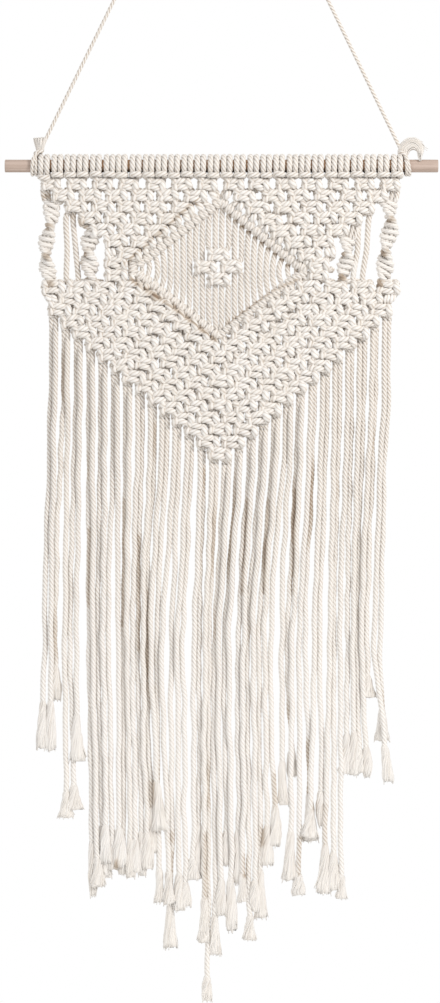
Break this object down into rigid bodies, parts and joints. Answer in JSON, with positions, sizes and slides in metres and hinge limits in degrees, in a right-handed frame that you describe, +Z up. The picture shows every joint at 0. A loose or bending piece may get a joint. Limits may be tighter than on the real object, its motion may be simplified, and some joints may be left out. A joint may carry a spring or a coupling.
{
  "type": "macrame wall hanging with dowel",
  "caption": "Knotted cotton wall hanging on a round wooden dowel, with a diamond of hitched bars, a V-shaped lower edge, a long uneven fringe and a cord to hang it by.",
  "frame": {"origin": "centre of the bend of the hanging cord, where the nail or hook that holds the hanging up passes", "axes": "+Z up, X along the dowel, and the front of the hanging faces -Y, away from the wall"},
  "size_m": [0.34, 0.0194, 0.9546],
  "materials": {
    "pale_wood": "bare smooth wood",
    "cotton_cord": "matt twisted cotton"
  },
  "bodies": {
    "root": {"dowel": "pale_wood", "macrame_panel": "cotton_cord", "fringe": "cotton_cord", "hanging_cord": "cotton_cord", "left_tie": "cotton_cord", "right_tie": "cotton_cord"}
  },
  "joints": []
}
